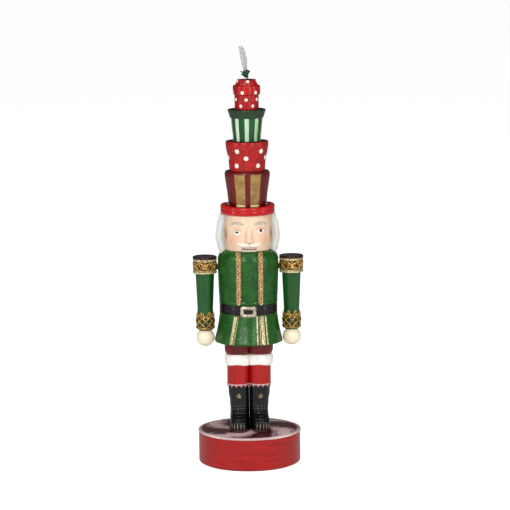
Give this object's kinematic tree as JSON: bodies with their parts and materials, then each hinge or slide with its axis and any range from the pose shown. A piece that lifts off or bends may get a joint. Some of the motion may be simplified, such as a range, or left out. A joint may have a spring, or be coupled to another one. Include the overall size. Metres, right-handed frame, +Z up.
{
  "type": "nutcracker figure",
  "caption": "Turned wooden soldier nutcracker on a round plinth, with a lever jaw, swinging arms and a tall tower of stacked hats and gift boxes.",
  "frame": {"origin": "centre of the plinth's underside, on the surface it stands on", "axes": "+Z up along the figure, -Y out of its face and chest, +X to its own left"},
  "size_m": [0.121, 0.1128, 0.4572],
  "materials": {
    "felt": "short felt",
    "red_lacquer": "gloss red lacquer over turned wood",
    "peppermint": "gloss red and white swirl",
    "steel": "plain steel",
    "black_lacquer": "gloss black lacquer",
    "gold_trim": "antique gold paint over cast resin trim",
    "white_fur": "sculpted white fur trim",
    "natural_wood": "bare beech",
    "green_glitter": "green paint with fine glitter",
    "green_sleeve": "smooth green lacquer",
    "belt_black": "patent black",
    "pale_gold": "pale gold paint",
    "skin": "satin flesh paint",
    "hair_white": "sculpted off-white hair",
    "eye_paint": "white with a black pupil",
    "teeth_white": "gloss white",
    "gold_stripe": "gold glitter paint",
    "green_lacquer": "gloss green lacquer",
    "holly_green": "satin green",
    "berry_red": "gloss dark red",
    "plume_white": "soft pale feather",
    "maroon": "gloss dark maroon",
    "hand_cream": "satin cream paint"
  },
  "bodies": {
    "figure": {"felt_pad": "felt", "base_plinth": "red_lacquer", "plinth_top": "peppermint", "base_screws": "steel", "boot_ornaments": "gold_trim", "breeches": "red_lacquer", "leg_dowels": "natural_wood", "coat_skirt": "green_glitter", "skirt_braids": "pale_gold", "belt": "belt_black", "belt_buckle": "pale_gold", "torso": "green_glitter", "jaw_pin": "steel", "head": "skin", "hair": "hair_white", "nose": "skin", "eyes": "eye_paint", "eyebrows": "hair_white", "moustache": "hair_white", "upper_teeth": "teeth_white", "hat_brim": "red_lacquer", "hat_crown": "red_lacquer", "crown_stripes": "gold_stripe", "dotted_tier": "red_lacquer", "striped_tier": "green_lacquer", "striped_lid": "green_lacquer", "gift_box": "red_lacquer", "gift_lid": "red_lacquer", "gift_top": "red_lacquer", "tower_dowel": "natural_wood", "holly_leaves": "holly_green", "berry": "berry_red", "plume": "plume_white", "boot_sole_left": "black_lacquer", "boot_left": "black_lacquer", "boot_cuff_left": "pale_gold", "leg_left": "red_lacquer", "knee_band_left": "white_fur", "coat_braid_left": "gold_trim", "shoulder_dowel_left": "green_sleeve", "boot_sole_right": "black_lacquer", "boot_right": "black_lacquer", "boot_cuff_right": "pale_gold", "leg_right": "red_lacquer", "knee_band_right": "white_fur", "coat_braid_right": "gold_trim", "shoulder_dowel_right": "green_sleeve"},
    "jaw": {"jaw_lever": "green_glitter", "lower_teeth": "teeth_white"},
    "left_arm": {"arm_left": "green_sleeve", "epaulette_left": "gold_trim", "epaulette_cap_left": "maroon", "cuff_left": "gold_trim", "hand_left": "hand_cream"},
    "right_arm": {"arm_right": "green_sleeve", "epaulette_right": "gold_trim", "epaulette_cap_right": "maroon", "cuff_right": "gold_trim", "hand_right": "hand_cream"}
  },
  "joints": [
    {"name": "jaw_hinge", "type": "hinge", "parent": "figure", "child": "jaw", "pos_m": [0, -0.008, 0.204], "axis": [1, 0, 0], "range_deg": [0, 12]},
    {"name": "left_shoulder", "type": "hinge", "parent": "figure", "child": "left_arm", "pos_m": [0.0472, 0, 0.217], "axis": [1, 0, 0], "range_deg": [-90, 30]},
    {"name": "right_shoulder", "type": "hinge", "parent": "figure", "child": "right_arm", "pos_m": [-0.0472, 0, 0.217], "axis": [1, 0, 0], "range_deg": [-90, 30]}
  ]
}
